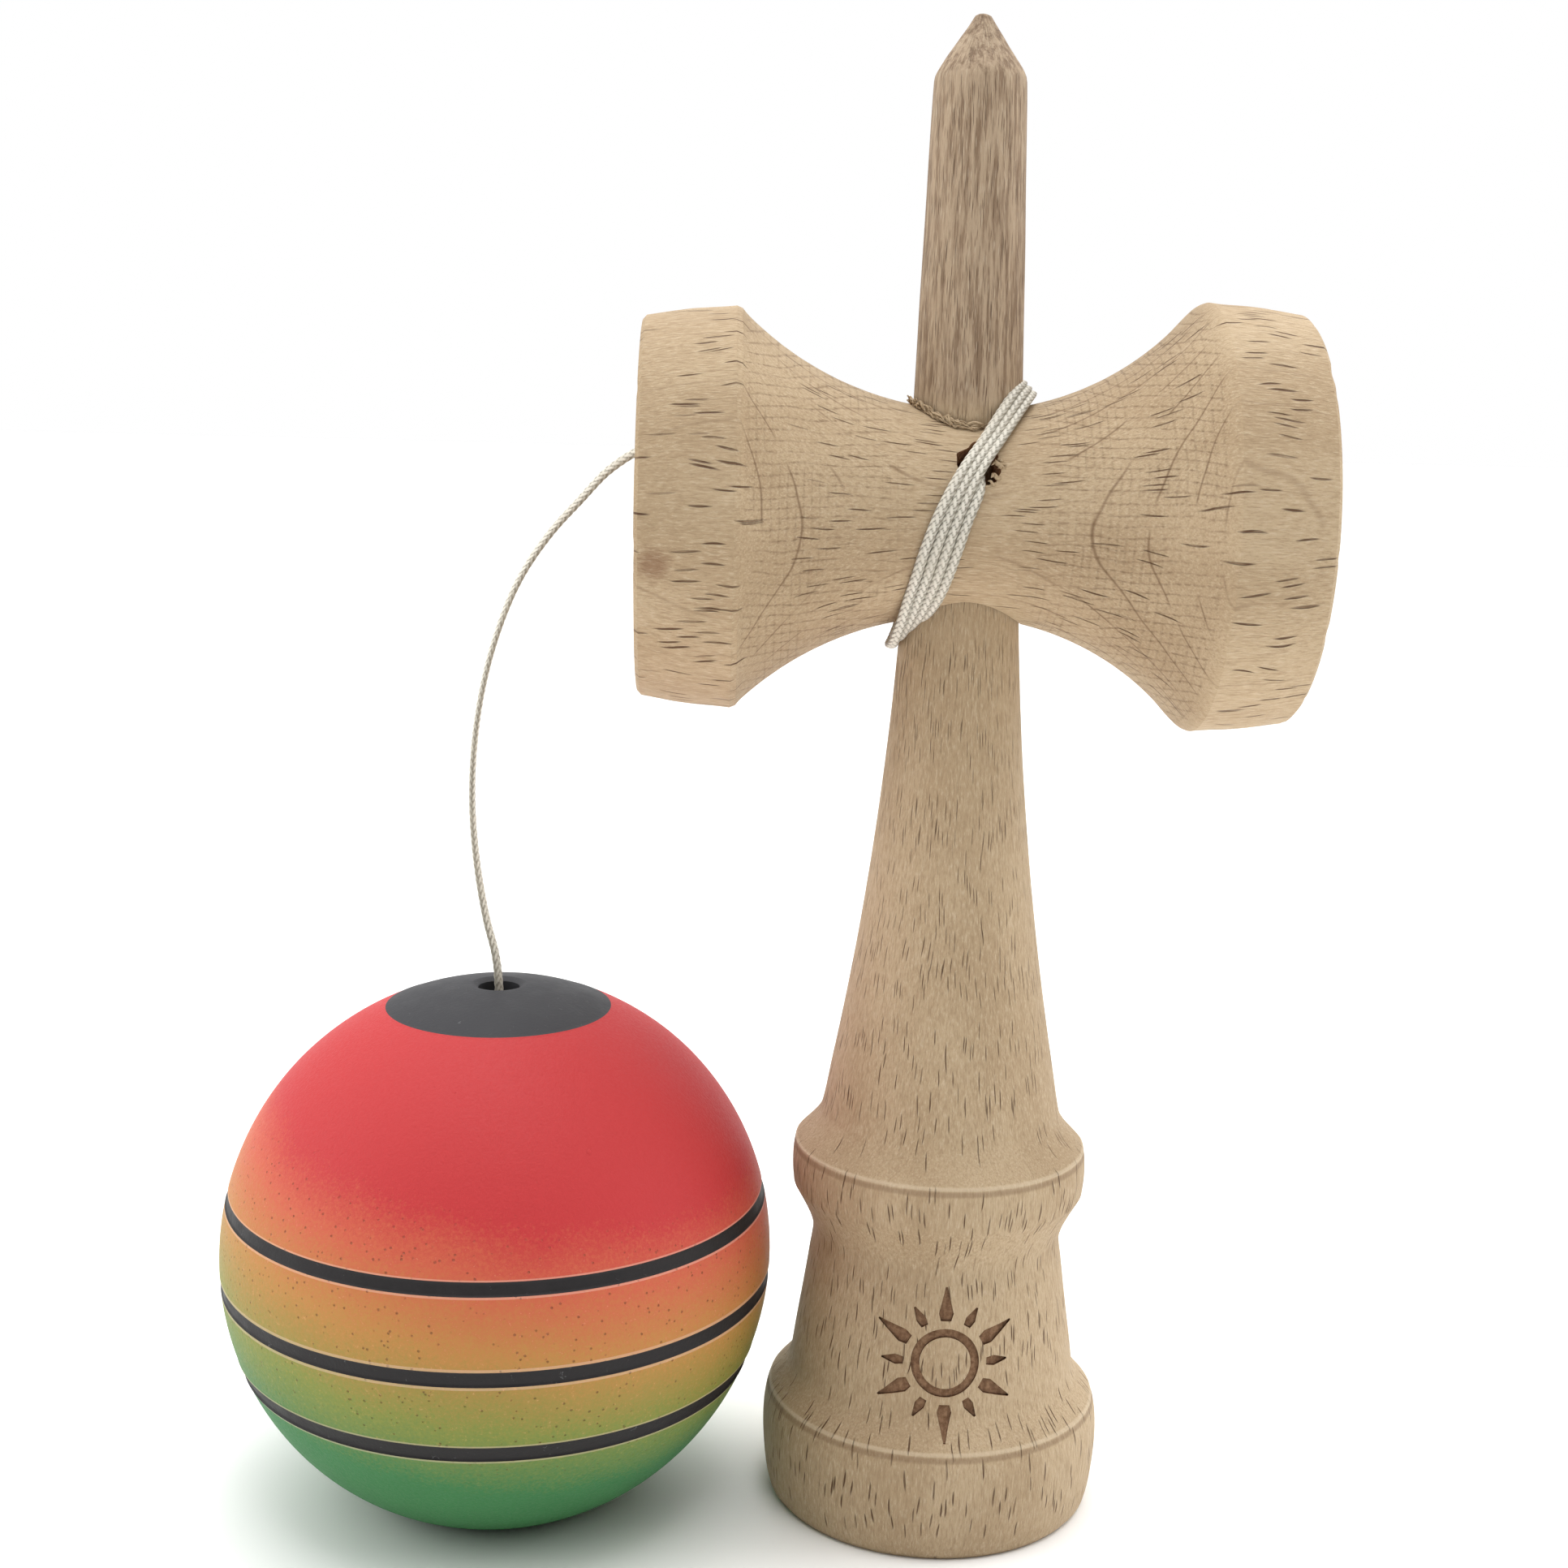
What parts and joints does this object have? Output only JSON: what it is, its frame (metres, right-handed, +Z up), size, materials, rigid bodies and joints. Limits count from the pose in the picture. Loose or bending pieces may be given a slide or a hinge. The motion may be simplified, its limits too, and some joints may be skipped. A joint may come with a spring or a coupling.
{
  "type": "kendama",
  "caption": "Turned wooden kendama: spiked handle with a base cup, a cross barrel with a cup at each end, and a painted ball on a white braided string.",
  "frame": {"origin": "centre of the bottom of the box round the hard pieces, on the surface that the handle and the ball stand on", "axes": "+X along the cross barrel towards the big cup, +Y to the back, +Z up along the handle towards the spike"},
  "size_m": [0.1122, 0.06, 0.1586],
  "materials": {
    "ken_beech": "raw sanded beech",
    "sarado_beech": "raw sanded beech",
    "tama_paint": "matte rubber paint on wood",
    "bead_plastic": "satin",
    "braid": "flat braided nylon"
  },
  "bodies": {
    "handle": {"ken": "ken_beech", "sarado": "sarado_beech", "knot_ken": "braid", "string_anchor": "braid", "string_turns": "braid", "string_run": "braid"},
    "swivel": {"bead": "bead_plastic", "knot_bead": "braid", "string_tail": "braid"},
    "ball": {"tama": "tama_paint"}
  },
  "joints": [
    {"name": "ball_lift", "type": "slide", "parent": "handle", "child": "swivel", "axis": [0, 0, 1], "range_m": [0, 0.03], "deforming": ["string_run"]},
    {"name": "ball_spin", "type": "hinge", "parent": "swivel", "child": "ball", "pos_m": [-0.0261, 0, 0.02747], "axis": [0, 0, 1], "continuous": true}
  ]
}
